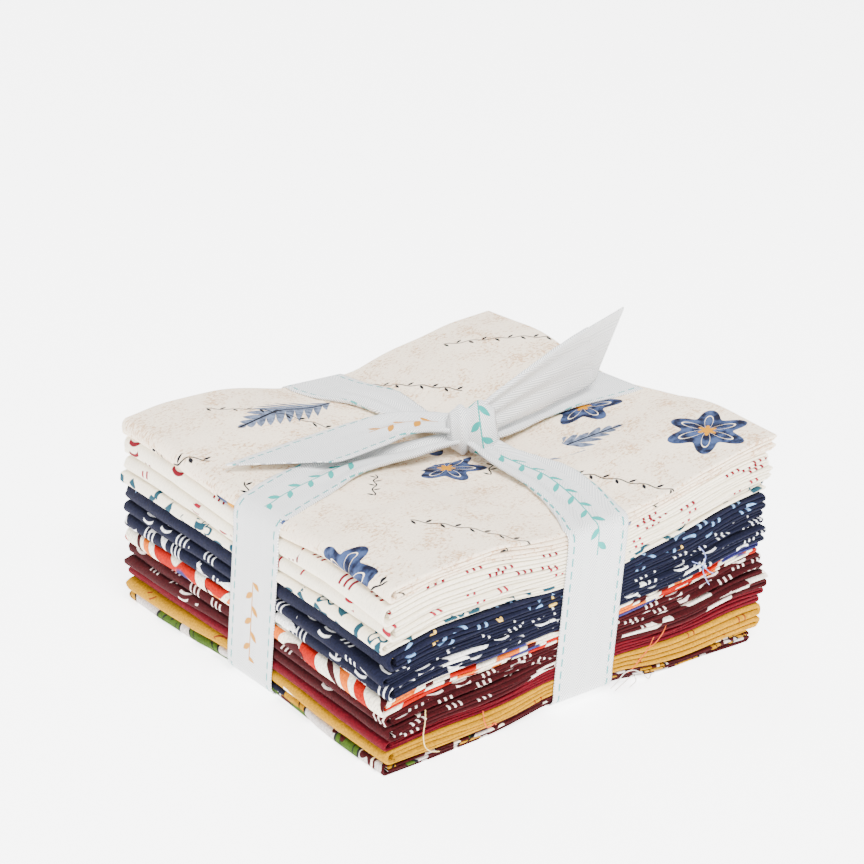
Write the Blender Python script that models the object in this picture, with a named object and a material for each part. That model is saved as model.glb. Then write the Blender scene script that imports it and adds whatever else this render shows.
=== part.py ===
"""A fat quarter bundle: thirteen folded cloths, stacked and tied both ways with one ribbon.

Each cloth is a back-and-forth section of four layers, a little apart: two inner edges meet
inside one outer fold on the -X side, and two closed folds show on the +X side. The stack
rests on four flat pads, and the ribbon pulls a shallow groove into its top and underside.
Lengths are in metres, +Z is up, and the origin is at the bottom centre.
"""

import math

import bmesh
import bpy
from mathutils import Vector

MM = 0.001

# Driving dimensions of the stack
FOLDED_LENGTH = 140 * MM      # a quarter of the cloth's 559 mm side
FOLDED_WIDTH = 131.6 * MM     # the cloth's 457 mm side, folded in three and a half times
PACKET_GAP = 0.36 * MM        # between one cloth and the next
LAYER_GAP = 0.26 * MM         # between the layers of one cloth
GROOVE = 12.5 * MM            # half the width of the strip that the ribbon presses flat
FOLD_BULGE = 0.42             # an outer fold's depth, as a share of its cloth's thickness
CLOSED_BULGE = 0.24           # a closed fold's depth, as a share of its cloth's thickness
FOLD_STEPS = 4
CLOSED_STEPS = 3

# Driving dimensions of the ribbon
RIBBON_WIDTH = 22 * MM
RIBBON_THICKNESS = 1.0 * MM
RIBBON_GAP = 0.33 * MM
CORNER_STEPS = 3
KNOT_CENTRE = (6 * MM, -2.5 * MM, 62 * MM)
KNOT_RADII = (9.5 * MM, 8.5 * MM, 7.2 * MM)
KNOT_WRAP_CENTRE = (10 * MM, -5 * MM, 62.5 * MM)
KNOT_WRAP_RADII = (5 * MM, 9.5 * MM, 8 * MM)

# How the stack settles along X and along Y, in mm: the height of its top and of its underside
SETTLE_X = (
    # x, top, underside
    (-74, 57.5, 0.0),
    (-56, 60.2, 0.0),
    (-34, 60.6, 0.0),
    (-12.5, 56.4, 3.0),
    (12.5, 56.6, 3.0),
    (34, 61.4, 0.0),
    (56, 65.8, 0.0),
    (74, 67.3, 0.0),
)
SETTLE_Y = (
    # y, added to the top, added to the underside
    (-70, -1.7, 0.0),
    (-40, 0.6, 0.0),
    (-12.5, -2.4, 1.6),
    (12.5, -2.4, 1.6),
    (40, 2.0, 0.0),
    (70, 1.6, 0.0),
)
CORNER_TWIST = 1.0            # mm that the left and right corners rise over the other two
FREE_X = SETTLE_X[5][0] * MM  # past here the ribbon no longer draws the cloths' edges in
FREE_Y = SETTLE_Y[4][0] * MM
LAST_STATION = SETTLE_X[6][0] * MM

# Cloths from the bottom up: thickness on the -X and +X sides, how far each side stands out
# past the shared outline, and the turn from front to back, all in mm
CLOTHS = (
    # name, west, east, fold out, edge out, front out, back out, turn, colour, roughness
    ("cloth_grey_print", 3.7, 3.7, 0.4, -1.2, -0.6, 0.8, 0.5, (0.62, 0.60, 0.58), 0.9),
    ("cloth_yellow", 4.1, 7.4, 1.2, 0.6, 0.9, -0.4, -0.4, (0.88, 0.52, 0.04), 0.88),
    ("cloth_crimson_stars", 3.6, 5.0, 0.2, 1.4, 0.2, 0.6, 0.3, (0.26, 0.01, 0.03), 0.88),
    ("cloth_maroon_stars", 3.6, 5.0, 1.0, 1.7, 1.1, -0.2, -0.6, (0.12, 0.015, 0.02), 0.88),
    ("cloth_maroon_ticks", 3.6, 4.9, 0.6, 0.9, 0.5, 0.9, 0.4, (0.12, 0.015, 0.02), 0.88),
    ("cloth_wavy_bands", 4.8, 3.6, 1.5, -0.4, -0.2, 0.3, 0.7, (0.80, 0.16, 0.05), 0.88),
    ("cloth_navy_stars", 4.5, 5.0, 0.9, -0.9, 1.3, -0.5, -0.3, (0.03, 0.04, 0.09), 0.88),
    ("cloth_navy_ticks", 3.8, 4.2, 1.6, 0.2, 0.4, 0.7, 0.5, (0.03, 0.04, 0.09), 0.88),
    ("cloth_navy_flecks", 5.4, 5.0, 0.7, -0.7, 0.8, 0.1, -0.5, (0.03, 0.04, 0.09), 0.88),
    ("cloth_cream_teal", 3.6, 3.6, 1.8, 0.5, -0.3, 0.8, 0.4, (0.84, 0.81, 0.74), 0.88),
    ("cloth_cream_plain", 4.9, 3.7, 0.5, 0.3, 0.7, -0.3, -0.4, (0.84, 0.81, 0.74), 0.88),
    ("cloth_cream_ticks", 5.8, 4.1, 1.3, 0.9, 0.2, 0.5, 0.5, (0.85, 0.81, 0.74), 0.88),
    ("cloth_parchment", 5.1, 4.7, 0.8, 1.5, 0.6, 0.2, -0.3, (0.82, 0.76, 0.67), 0.9),
)

# The ribbon's stations over the top, in mm, along Y and along X: how far its middle lies to the
# side, its width, and how far it is lifted off the cloth towards the knot
BAND_Y_TOP = (
    # along, aside, width, lift
    (-40, 0.6, 22, 0.0),
    (-24, 2.0, 20, 0.5),
    (-13, 4.0, 15, 2.4),
    (-3, 6.0, 11, 5.0),
    (8, 5.5, 12, 3.8),
    (20, 3.0, 15, 1.4),
    (40, -0.8, 22, 0.0),
)
BAND_X_TOP = (
    # along, aside, width, lift
    (-56, 0.0, 22, 0.0),
    (-34, -0.2, 22, 0.0),
    (-20, -1.0, 19, 0.8),
    (-7, -2.0, 15, 2.6),
    (6, -3.0, 11, 5.0),
    (18, -3.0, 14, 2.6),
    (31, -1.8, 19, 0.8),
    (34, -1.5, 21, 0.5),
    (56, -0.9, 22, 0.0),
)

# The free ends, in mm: pairs across the ribbon from the knot out, then the tip of the slanted cut
RIGHT_TAIL = (
    # lower x, y, z, upper x, y, z
    (9, -4, 59.5, 9, -4, 67),
    (20, -5, 61.5, 19, -7, 76),
    (36, -5.5, 64.3, 34, -8, 83),
    (55, -4.3, 67.7, 49, -7.5, 87.2),
)
RIGHT_TIP = (64.9, -6, 90.6)
LEFT_TAIL = (
    (4, -5, 61.5, 5, 3, 63.5),
    (-8, 1.5, 62.6, -4, 16, 63),
    (-22, 0.5, 62.4, -19, 21, 61.6),
    (-39, -0.6, 62, -42, 20.5, 61),
)
LEFT_TIP = (-62.8, 16.6, 60.6)


def clear_scene():
    for old in list(bpy.data.objects):
        bpy.data.objects.remove(old, do_unlink=True)


def make_material(name, colour, roughness):
    material = bpy.data.materials.new(name)
    material.use_nodes = True
    shader = material.node_tree.nodes["Principled BSDF"]
    shader.inputs["Base Color"].default_value = (*colour, 1.0)
    shader.inputs["Roughness"].default_value = roughness
    shader.inputs["Metallic"].default_value = 0.0
    return material


def node_height(ix, iy):
    """Underside and top of the stack at one station of X and one of Y."""
    x, top_x, under_x = SETTLE_X[ix]
    y, top_y, under_y = SETTLE_Y[iy]
    twist = CORNER_TWIST * (x / SETTLE_X[-1][0]) * (y / SETTLE_Y[-1][0])
    return (under_x + under_y) * MM, (top_x + top_y - twist) * MM


def cell(rows, value):
    """The stations on each side of a place, and how far it lies between them."""
    last = len(rows) - 2
    index = 0
    while index < last and value > rows[index + 1][0] * MM:
        index += 1
    low = rows[index][0] * MM
    high = rows[index + 1][0] * MM
    return index, (value - low) / (high - low)


def between(low, high, share):
    return low + (high - low) * share


def stack_height(x, y, share_at):
    """Height inside the stack: share_at(x) runs from 0 at the underside to 1 at the top."""
    ix, part_x = cell(SETTLE_X, x)
    iy, part_y = cell(SETTLE_Y, y)
    rows = []
    for side in (0, 1):
        columns = []
        for other in (0, 1):
            under, top = node_height(ix + other, iy + side)
            share = share_at(SETTLE_X[ix + other][0] * MM)
            columns.append(between(under, top, share))
        rows.append(between(columns[0], columns[1], part_x))
    return between(rows[0], rows[1], part_y)


def top_height(x, y):
    return stack_height(x, y, lambda at: 1.0)


def under_height(x, y):
    return stack_height(x, y, lambda at: 0.0)


def cloth_thickness(row, x):
    """A cloth's share of the stack's thickness, in metres before settling."""
    across = (x + FOLDED_LENGTH / 2) / FOLDED_LENGTH
    return between(row[1], row[2], across) * MM


def cloth_share(index, level):
    """A function of x that gives a level inside one cloth, 0 to 1, as a share of the stack."""
    def share_at(x):
        below = sum(cloth_thickness(row, x) for row in CLOTHS[:index])
        total = sum(cloth_thickness(row, x) for row in CLOTHS) - PACKET_GAP
        own = cloth_thickness(CLOTHS[index], x) - PACKET_GAP
        return (below + level * own) / total
    return share_at


def eased(value, start, full):
    """0 within the ribbon's strip, rising to 1 where the cloth is free."""
    return min(1.0, max(0.0, (abs(value) - start) / (full - start)))


def place(index, x, y, level):
    """A point of one cloth: x and y on the shared outline, level 0 to 1 in its thickness."""
    fold_out, edge_out, front_out, back_out, turn = CLOTHS[index][3:8]
    shift_x = 0.0
    if abs(x) > LAST_STATION + MM:
        out = -fold_out if x < 0 else edge_out
        skew = turn * y / (FOLDED_WIDTH / 2)
        shift_x = (out + skew) * MM * eased(y, GROOVE, FREE_Y)
    shift_y = 0.0
    if abs(y) > FOLDED_WIDTH / 2 - MM:
        out = -front_out if y < 0 else back_out
        shift_y = out * MM * eased(x, GROOVE, FREE_X)
    px = x + shift_x
    py = y + shift_y
    return Vector((px, py, stack_height(px, py, cloth_share(index, level))))


def fold_arc(x, reach, low, high, steps, toward):
    """Half an ellipse from level low to level high around a fold; toward is -1 or +1 in X."""
    points = []
    for step in range(steps + 1):
        angle = math.pi * step / steps
        level = between(low, high, (1 - math.cos(angle)) / 2)
        points.append((x + toward * reach * math.sin(angle), level))
    return points


def layer_line(level, forward):
    """One face of a layer, station by station along X."""
    stations = [row[0] * MM for row in SETTLE_X[1:-1]]
    if not forward:
        stations.reverse()
    return [(x, level) for x in stations]


def cloth_section(index):
    """Pairs of points along the folded strip, from one inner edge to the other."""
    own = min(cloth_thickness(CLOTHS[index], x) for x in (-FOLDED_LENGTH / 2, FOLDED_LENGTH / 2))
    own = own - PACKET_GAP
    gap = LAYER_GAP / own
    pitch = (1 + gap) / 4
    fold_depth = FOLD_BULGE * own
    closed_depth = CLOSED_BULGE * own
    layer = (1 - 3 * gap) / 4
    inner_depth = fold_depth - layer * own
    fold_x = -FOLDED_LENGTH / 2 + fold_depth
    closed_x = FOLDED_LENGTH / 2 - closed_depth
    edge_x = fold_x + 0.3 * MM

    pairs = []
    pairs.append(((edge_x, pitch), (edge_x, pitch + layer)))
    pairs += list(zip(layer_line(pitch, True), layer_line(pitch + layer, True)))
    turn = fold_arc(closed_x, closed_depth, pitch + layer, 0.0, CLOSED_STEPS, 1)
    slit = (closed_x, pitch - gap / 2)
    pairs += [(slit, point) for point in turn]
    pairs += list(zip(layer_line(layer, False), layer_line(0.0, False)))
    outer = fold_arc(fold_x, fold_depth, 0.0, 1.0, FOLD_STEPS, -1)
    inner = fold_arc(fold_x, inner_depth, layer, 1 - layer, FOLD_STEPS, -1)
    pairs += list(zip(inner, outer))
    pairs += list(zip(layer_line(1 - layer, True), layer_line(1.0, True)))
    turn = fold_arc(closed_x, closed_depth, 1.0, 2 * pitch, CLOSED_STEPS, 1)
    slit = (closed_x, 3 * pitch - gap / 2)
    pairs += [(slit, point) for point in turn]
    pairs += list(zip(layer_line(2 * pitch + layer, False), layer_line(2 * pitch, False)))
    pairs.append(((edge_x, 2 * pitch + layer), (edge_x, 2 * pitch)))
    return pairs


def strip_faces(bm, pairs, closed=False):
    """A strip of faces through pairs of points; a point that repeats is one vertex."""
    made = {}

    def vertex(point):
        if point not in made:
            made[point] = bm.verts.new(point)
        return made[point]

    ring = list(pairs) + ([pairs[0]] if closed else [])
    faces = []
    for (a, b), (c, d) in zip(ring, ring[1:]):
        corners = list(dict.fromkeys(vertex(point) for point in (a, c, d, b)))
        if len(corners) > 2:
            faces.append(bm.faces.new(corners))
    return faces


def finish_object(name, bm, colour, roughness):
    bmesh.ops.recalc_face_normals(bm, faces=bm.faces)
    mesh = bpy.data.meshes.new(name)
    bm.to_mesh(mesh)
    bm.free()
    mesh.shade_smooth()
    mesh.set_sharp_from_angle(angle=math.radians(35))
    piece = bpy.data.objects.new(name, mesh)
    bpy.context.scene.collection.objects.link(piece)
    mesh.materials.append(make_material(name, colour, roughness))
    return piece


def make_cloth(index):
    """The folded section, extruded along Y and settled into its place in the stack."""
    name, colour, roughness = CLOTHS[index][0], CLOTHS[index][8], CLOTHS[index][9]
    front = -FOLDED_WIDTH / 2
    stations = [front] + [row[0] * MM for row in SETTLE_Y[1:-1]] + [-front]
    bm = bmesh.new()
    section = [((a[0], front, a[1]), (b[0], front, b[1])) for a, b in cloth_section(index)]
    region = strip_faces(bm, section)
    for low, high in zip(stations, stations[1:]):
        grown = bmesh.ops.extrude_face_region(bm, geom=region)
        if low > front:
            bmesh.ops.delete(bm, geom=region, context="FACES_ONLY")
        moved = [item for item in grown["geom"] if isinstance(item, bmesh.types.BMVert)]
        region = [item for item in grown["geom"] if isinstance(item, bmesh.types.BMFace)]
        bmesh.ops.translate(bm, vec=(0, high - low, 0), verts=moved)
    for vert in bm.verts:
        vert.co = place(index, *vert.co)
    return finish_object(name, bm, colour, roughness)


def oriented(along_y, along, aside, z):
    """A point given along and across a band, as x, y and z."""
    if along_y:
        return (aside, along, z)
    return (along, aside, z)


def band_corner(along_y, end, toward, on_top, reach, rounding):
    """The ribbon's inner face round one edge of the stack, as rings of along, aside, z."""
    rings = []
    for step in range(CORNER_STEPS + 1):
        angle = math.pi / 2 * step / CORNER_STEPS
        if not on_top:
            angle = math.pi / 2 - angle
        out = (rounding + RIBBON_GAP) * math.sin(angle)
        up = (rounding + RIBBON_GAP) * math.cos(angle)
        pair = []
        for side in (-1, 1):
            aside = reach + side * RIBBON_WIDTH / 2
            x, y = oriented(along_y, end - toward * rounding, aside, 0)[:2]
            if on_top:
                z = top_height(x, y) - rounding + up
            else:
                z = under_height(x, y) + rounding - up
            pair.append(oriented(along_y, end + toward * (out - rounding), aside, z))
        rings.append(tuple(pair))
    return rings


def band_over(along_y, rows):
    """The ribbon's inner face across the top, from the table of stations."""
    rings = []
    for along, aside, width, lift in rows:
        pair = []
        for side in (-1, 1):
            across = (aside + side * width / 2) * MM
            x, y = oriented(along_y, along * MM, across, 0)[:2]
            z = top_height(x, y) + RIBBON_GAP + lift * MM
            pair.append(oriented(along_y, along * MM, across, z))
        rings.append(tuple(pair))
    return rings


def band_under(along_y, stations, drop):
    """The ribbon's inner face across the underside; drop clears the band that lies above it."""
    rings = []
    for along in stations:
        pair = []
        for side in (-1, 1):
            across = side * RIBBON_WIDTH / 2
            x, y = oriented(along_y, along, across, 0)[:2]
            lower = drop if abs(along) <= GROOVE else 0.0
            pair.append(oriented(along_y, along, across, under_height(x, y) - RIBBON_GAP - lower))
        rings.append(tuple(pair))
    return rings


def make_band(name, along_y, rows, end, reaches, roundings, under, drop):
    """One loop of ribbon round the stack: over the top, down one end, under, and up again."""
    near, far = reaches
    rings = band_over(along_y, rows)
    rings += band_corner(along_y, end, 1, True, far, roundings[1])
    rings += band_corner(along_y, end, 1, False, 0.0, roundings[3])
    rings += band_under(along_y, list(reversed(under)), drop)
    rings += list(reversed(band_corner(along_y, -end, -1, False, 0.0, roundings[2])))
    rings += list(reversed(band_corner(along_y, -end, -1, True, near, roundings[0])))
    bm = bmesh.new()
    strip_faces(bm, rings, closed=True)
    band = finish_object(name, bm, (0.9, 0.9, 0.88), 0.7)
    thicken(band, 1.0)
    return band


def thicken(piece, offset):
    solidify = piece.modifiers.new("Ribbon thickness", "SOLIDIFY")
    solidify.thickness = RIBBON_THICKNESS
    solidify.offset = offset
    solidify.use_even_offset = True


def make_tail(name, rows, tip):
    """A free end: a strip from inside the knot to a slanted cut."""
    pairs = []
    for x1, y1, z1, x2, y2, z2 in rows:
        lower = (x1 * MM, y1 * MM, z1 * MM)
        upper = (x2 * MM, y2 * MM, z2 * MM)
        pairs.append((lower, upper))
    end = tuple(value * MM for value in tip)
    pairs.append((end, end))
    bm = bmesh.new()
    strip_faces(bm, pairs)
    tail = finish_object(name, bm, (0.9, 0.9, 0.88), 0.7)
    thicken(tail, 0.0)
    return tail


def make_lump(name, centre, radii):
    """One bulge of the knot."""
    bm = bmesh.new()
    bmesh.ops.create_uvsphere(bm, u_segments=12, v_segments=8, radius=1.0)
    bmesh.ops.scale(bm, vec=radii, verts=bm.verts)
    bmesh.ops.translate(bm, vec=centre, verts=bm.verts)
    return finish_object(name, bm, (0.9, 0.9, 0.88), 0.7)


def join_into(piece, others):
    """Join pieces of one ribbon into a single body."""
    for other in others:
        union = piece.modifiers.new("With " + other.name, "BOOLEAN")
        union.operation = "UNION"
        union.solver = "EXACT"
        union.object = other
        other.hide_render = True
        other.display_type = "WIRE"


def make_ribbon():
    """Two crossing loops, the knot and two free ends, all one piece of ribbon."""
    half_x = FOLDED_LENGTH / 2
    half_y = FOLDED_WIDTH / 2
    under_y = [row[0] * MM for row in SETTLE_Y[1:-1]]
    under_x = [row[0] * MM for row in SETTLE_X[2:-2]]
    reach_y = (0.0, -0.9 * MM)
    reach_x = (0.0, -0.9 * MM)
    fold_top = FOLD_BULGE * CLOTHS[-1][1] * MM
    fold_under = FOLD_BULGE * CLOTHS[0][1] * MM
    edge_top = CLOSED_BULGE * CLOTHS[-1][2] * MM
    edge_under = CLOSED_BULGE * CLOTHS[0][2] * MM
    round_x = (fold_top, edge_top, fold_under, edge_under)
    round_y = (0.0, 0.0, 0.0, 0.0)
    over = make_band("ribbon", True, BAND_Y_TOP, half_y, reach_y, round_y, under_y, 0.0)
    clear = RIBBON_THICKNESS + RIBBON_GAP
    cross = make_band("guide_band_x", False, BAND_X_TOP, half_x, reach_x, round_x, under_x, clear)
    others = [
        cross,
        make_lump("guide_knot", KNOT_CENTRE, KNOT_RADII),
        make_lump("guide_knot_wrap", KNOT_WRAP_CENTRE, KNOT_WRAP_RADII),
        make_tail("guide_tail_right", RIGHT_TAIL, RIGHT_TIP),
        make_tail("guide_tail_left", LEFT_TAIL, LEFT_TIP),
    ]
    join_into(over, others)
    return over


def main():
    clear_scene()
    for index in range(len(CLOTHS)):
        make_cloth(index)
    make_ribbon()


if __name__ == "__main__":
    main()
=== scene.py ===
"""Looks of a fat quarter bundle: thirteen printed cottons, folded, stacked and tied.

Every cloth starts as a flat sheet of its real cut size, is folded layer on layer, and is then
settled into its place in the stack. Its prints and weave are drawn on the flat sheet's own
measure, so they run round the folds as they do on real cloth. Lengths are in metres.
"""

import math

import bmesh
import bpy
import numpy as np
from bpy.props import FloatProperty, FloatVectorProperty, PointerProperty
from mathutils import Matrix, Vector


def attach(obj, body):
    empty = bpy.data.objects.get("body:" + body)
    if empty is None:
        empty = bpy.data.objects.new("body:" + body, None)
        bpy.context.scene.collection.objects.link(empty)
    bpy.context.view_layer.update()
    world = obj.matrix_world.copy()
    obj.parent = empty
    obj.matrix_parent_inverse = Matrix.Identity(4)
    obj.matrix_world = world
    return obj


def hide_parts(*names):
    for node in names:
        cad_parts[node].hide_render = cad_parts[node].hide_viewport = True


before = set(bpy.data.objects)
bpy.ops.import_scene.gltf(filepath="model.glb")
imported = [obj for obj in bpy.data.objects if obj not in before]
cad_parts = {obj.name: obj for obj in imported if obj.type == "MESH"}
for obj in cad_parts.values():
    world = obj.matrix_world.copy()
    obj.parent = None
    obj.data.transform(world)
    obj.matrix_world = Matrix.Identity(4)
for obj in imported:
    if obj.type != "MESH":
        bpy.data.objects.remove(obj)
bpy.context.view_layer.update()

bl_info = {
    "name": "Fat quarter bundle",
    "version": (1, 0, 0),
    "blender": (4, 5, 0),
    "location": "View3D > Sidebar > Bundle",
    "description": "Folds, stacks and ties a bundle of printed quilting cottons",
    "category": "Add Mesh",
}

MM = 0.001
SEED = 11

# The folded cloths
OUTER_FOLD = 0.42  # depth of the round folds at -X, as a share of the cloth's thickness
CLOSED_FOLD = 0.24  # how far the folds at +X stay inside their side, in the same share
NEAR_EDGE = 0.7  # where a layer starts to follow its own edge, as a share of the half side
FREE_X, FREE_Y = 30 * MM, 34 * MM  # from here out the ribbon no longer presses the stack
EDGE_PRESS = 1.4 * MM  # how far the ribbon draws in the highest and lowest edges
SOFTNESS = 0.5 * MM  # how far the layers wave up and down
TOP_PLY_LIFT = 0.18 * MM  # keeps the top cloth's second layer from showing through its creases
THREAD_RADIUS = 0.16 * MM

# The prints
PRINT_BLUR = 0.12 * MM  # softness of a printed edge
TICK_CURVE = 90.0
PRINT_GRAIN, CREAM_GRAIN, PARCHMENT_GRAIN = 0.26, 0.07, 0.05  # how much the yarns' shades differ

# The ribbon
RIBBON_ACROSS = 33  # points across it
PLEAT_DEPTH = 0.4 * MM
TUCK_BEND = 1.2 * MM  # run of the bend where the spare width turns under
TUCK_DROP = 0.9 * MM
BANDS_APART = 0.15 * MM  # air between the two bands where they cross under the stack
CROSSING = (14 * MM, 30 * MM)  # half the length of that crossing, and where it has faded out
SIDE_TOP, SIDE_FOOT = 3 * MM, 5 * MM  # how far the straight sides stay from the bends

# How the stack settles, in mm: its top and its underside along X, and what Y adds to them
SETTLE_X = (
    # x, top, underside
    (-74, 57.5, 0.0),
    (-56, 60.2, 0.0),
    (-34, 60.6, 0.0),
    (-12.5, 56.4, 3.0),
    (12.5, 56.6, 3.0),
    (34, 61.4, 0.0),
    (56, 65.8, 0.0),
    (74, 67.3, 0.0),
)
SETTLE_Y = (
    # y, added to the top, added to the underside
    (-70, -1.7, 0.0),
    (-40, 0.6, 0.0),
    (-12.5, -2.4, 1.6),
    (12.5, -2.4, 1.6),
    (40, 2.0, 0.0),
    (70, 1.6, 0.0),
)
CORNER_TWIST = 1.0 * MM
TWIST_X = 74 * MM
TWIST_Y = 70 * MM

# Cloths from the bottom up, in mm: thickness at the -X and +X sides, and how far each side
# stands out past the shared outline, with the turn from front to back
CLOTHS = (
    # node, slot, west, east, fold out, edge out, front out, back out, turn
    ("cloth_grey_print", "cotton_grey", 3.7, 3.7, 0.4, -1.2, -0.6, 0.8, 0.5),
    ("cloth_yellow", "cotton_yellow", 4.1, 7.4, 1.2, 0.6, 0.9, -0.4, -0.4),
    ("cloth_crimson_stars", "cotton_crimson", 3.6, 5.0, 0.2, 1.4, 0.2, 0.6, 0.3),
    ("cloth_maroon_stars", "cotton_maroon_stars", 3.6, 5.0, 1.0, 1.7, 1.1, -0.2, -0.6),
    ("cloth_maroon_ticks", "cotton_maroon_ticks", 3.6, 4.9, 0.6, 0.9, 0.5, 0.9, 0.4),
    ("cloth_wavy_bands", "cotton_wavy_bands", 4.8, 3.6, 1.5, -0.4, -0.2, 0.3, 0.7),
    ("cloth_navy_stars", "cotton_navy_stars", 4.5, 5.0, 0.9, -0.9, 1.3, -0.5, -0.3),
    ("cloth_navy_ticks", "cotton_navy_ticks", 3.8, 4.2, 1.6, 0.2, 0.4, 0.7, 0.5),
    ("cloth_navy_flecks", "cotton_navy_flecks", 5.4, 5.0, 0.7, -0.7, 0.8, 0.1, -0.5),
    ("cloth_cream_teal", "cotton_cream_teal", 3.6, 3.6, 1.8, 0.5, -0.3, 0.8, 0.4),
    ("cloth_cream_plain", "cotton_cream_plain", 4.9, 3.7, 0.5, 0.3, 0.7, -0.3, -0.4),
    ("cloth_cream_ticks", "cotton_cream_ticks", 5.8, 4.1, 1.3, 0.9, 0.2, 0.5, 0.5),
    ("cloth_parchment", "cotton_parchment", 5.1, 4.7, 0.8, 1.5, 0.6, 0.2, -0.3),
)

# Loose threads at the front edges, in mm: their colour, and the spots that each thread passes
THREADS = {
    "cloth_maroon_stars": ((226, 196, 132), [
        [(-57.6, -66.6, 17.4), (-58.9, -68.3, 14.6), (-59.8, -68.8, 10.8), (-59.2, -68.9, 7.2),
         (-57.0, -68.7, 4.9), (-53.8, -68.3, 3.6)],
    ]),
    "cloth_yellow": ((206, 92, 40), [
        [(-37.4, -66.6, 10.0), (-38.0, -68.1, 7.6), (-37.0, -68.5, 5.6), (-34.2, -68.3, 6.0),
         (-33.4, -67.6, 4.9)],
        [(26.2, -66.8, 13.9), (22.8, -68.2, 11.6), (19.2, -68.6, 9.4), (16.6, -68.8, 7.5),
         (14.9, -68.5, 6.6)],
        [(30.8, -66.9, 16.4), (28.4, -68.0, 14.9), (25.0, -68.3, 12.6), (21.8, -68.4, 12.3)],
    ]),
    "cloth_wavy_bands": ((126, 138, 196), [
        [(42.6, -66.4, 38.4), (44.0, -67.9, 35.6), (43.0, -68.3, 31.4), (45.0, -68.2, 27.4),
         (46.4, -67.9, 25.6)],
        [(39.8, -66.8, 34.4), (42.6, -68.1, 32.9), (45.6, -68.3, 30.2), (48.0, -67.9, 28.8)],
    ]),
    "cloth_grey_print": ((204, 196, 186), [
        [(9.8, -67.2, 2.4), (10.4, -68.8, 4.7), (13.2, -69.2, 7.3), (16.8, -69.1, 7.0),
         (20.6, -68.8, 4.6), (23.6, -68.4, 1.9), (25.4, -67.6, 2.6)],
        [(11.6, -67.3, 1.2), (12.6, -68.9, 3.6), (16.0, -69.4, 5.6), (18.0, -69.0, 3.2),
         (16.6, -68.0, 1.1)],
    ]),
}

# Soft creases in the top cloths, in mm and degrees: where each lies, which way it runs, its
# length, its width and its depth (a ridge is below zero)
CREASES = (
    # x, y, heading, length, width, depth
    (-16, -20, 235, 34, 5.0, 0.9),
    (22, -22, 312, 30, 5.0, 0.8),
    (-18, 22, 140, 30, 5.5, 0.7),
    (26, 18, 40, 34, 6.0, 0.8),
    (-46, -34, 200, 30, 7.0, -0.6),
    (40, -44, 340, 36, 8.0, -0.5),
    (44, 38, 20, 32, 7.0, 0.6),
    (-40, 44, 165, 34, 7.0, -0.6),
)

# The ribbon's run over the top, in mm: how far its middle lies to the side, its width, and how
# far it is lifted off the cloth towards the knot
BAND_Y_TOP = (
    # along, aside, width, lift
    (-60, 4.0, 20.5, 0.1),
    (-50, 6.6, 18.5, 0.3),
    (-37, 8.6, 16.5, 0.7),
    (-26, 8.9, 13.5, 1.5),
    (-17, 8.0, 10.5, 3.0),
    (-8, 8.0, 8.5, 4.6),
    (0, 7.0, 8.0, 5.2),
    (10, 6.2, 9.0, 4.0),
    (19, 5.8, 10.0, 2.6),
    (27, 5.6, 12.5, 1.5),
    (40, 3.8, 17.5, 0.6),
    (52, -0.4, 21.0, 0.2),
    (60, -2.0, 22.0, 0.1),
)
BAND_X_TOP = (
    # along, aside, width, lift
    (-62, -4.2, 22.0, 0.2),
    (-55, -2.8, 21.5, 0.3),
    (-47, -1.2, 19.5, 0.5),
    (-35, 1.2, 16.0, 1.0),
    (-22, 2.4, 12.5, 2.2),
    (-12, 1.4, 10.0, 3.6),
    (-3, -0.5, 8.0, 4.8),
    (5, -2.5, 8.0, 5.2),
    (14, -3.4, 9.0, 4.2),
    (24, -1.4, 12.0, 2.4),
    (34, 0.6, 14.5, 1.4),
    (47, 0.4, 18.0, 0.7),
    (58, -1.6, 21.0, 0.3),
    (63, -2.2, 22.0, 0.2),
)

# How the ribbon goes down each side, in mm: aside at the top, aside at the foot, and the bend
BAND_Y_SIDES = ((2.6, -0.4, 2.0), (-2.0, 0.0, 2.0))
BAND_X_SIDES = ((-5.0, -1.2, 5.0), (-2.4, 0.0, 3.0))

# The free ends, in mm: pairs across the ribbon from the knot out, then the tip of the cut
RIGHT_TAIL = (
    # lower x, y, z, upper x, y, z
    (9.5, -4, 60.5, 8.5, -3.6, 67.5),
    (14, -5, 61.0, 12.5, -5.6, 72.0),
    (22, -5.4, 62.4, 20, -7.2, 76.6),
    (36, -5.7, 64.6, 34, -8.2, 83),
    (55, -4.6, 67.9, 49, -7.5, 87.2),
)
RIGHT_TIP = (64.9, -6, 90.6)
LEFT_TAIL = (
    (6, -4.6, 61.0, 6.5, 1, 65.5),
    (0, -1.6, 62.6, 1.5, 8, 65.2),
    (-9, 1.8, 63.4, -6, 17.0, 63.8),
    (-22, 1.0, 62.6, -19, 21.2, 62.2),
    (-39, -0.6, 62.1, -42, 20.5, 61.4),
)
LEFT_TIP = (-66.4, 17.4, 61.2)


def linear(*rgb255):
    """A colour read off a screen, as the linear values that shaders use."""
    out = []
    for value in rgb255:
        share = value / 255
        out.append(share / 12.92 if share <= 0.04045 else ((share + 0.055) / 1.055) ** 2.4)
    return tuple(out)


def colour_property(name, description, rgb255):
    return FloatVectorProperty(
        name=name, description=description, subtype="COLOR", size=3, min=0, max=1,
        default=linear(*rgb255),
    )


def length_property(name, description, millimetres):
    return FloatProperty(
        name=name, description=description, unit="LENGTH", default=millimetres * MM,
    )


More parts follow.
